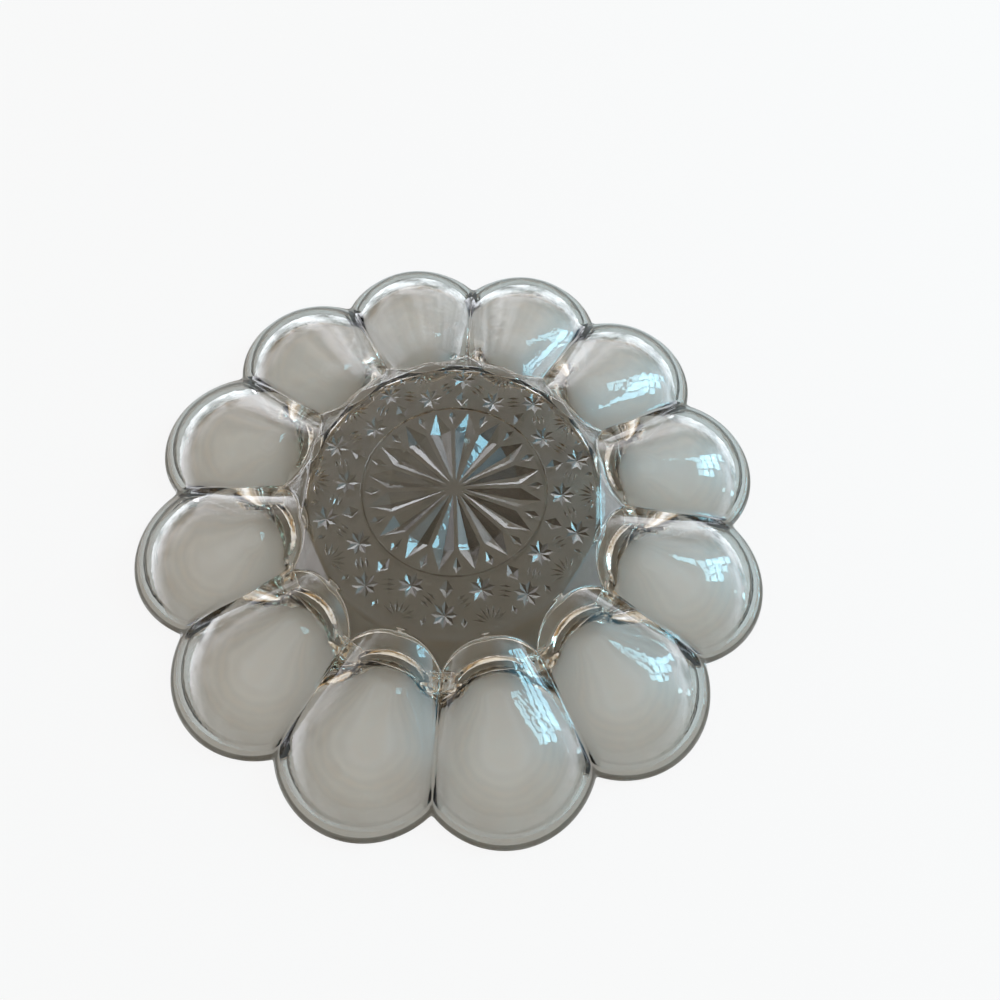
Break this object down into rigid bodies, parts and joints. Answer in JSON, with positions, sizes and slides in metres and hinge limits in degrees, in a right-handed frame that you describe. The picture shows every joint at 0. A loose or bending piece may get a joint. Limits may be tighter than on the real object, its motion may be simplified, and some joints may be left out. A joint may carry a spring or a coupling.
{
  "type": "deviled egg platter",
  "caption": "Round clear pressed-glass platter with a scalloped rim, egg-shaped wells round a centre dish and a star pressed in its flat base.",
  "frame": {"origin": "centre of the rim, in the plane that the rim lies on", "axes": "+Z is the plate's axis and points out of the flat base with the star. The plate lies face down on its rim, as pictured, so its wells and dish open towards -Z; turned half round about X it stands on its base as in use. +X lies between well 12 and well 01, whose middle is at 15 degrees from +X"},
  "size_m": [0.2438, 0.2438, 0.025],
  "materials": {
    "glass": "polished, clear and colourless with a faint cool tint"
  },
  "bodies": {
    "root": {"base_disc": "glass", "egg_well_01": "glass", "egg_well_02": "glass", "egg_well_03": "glass", "egg_well_04": "glass", "egg_well_05": "glass", "egg_well_06": "glass", "egg_well_07": "glass", "egg_well_08": "glass", "egg_well_09": "glass", "egg_well_10": "glass", "egg_well_11": "glass", "egg_well_12": "glass"}
  },
  "joints": []
}
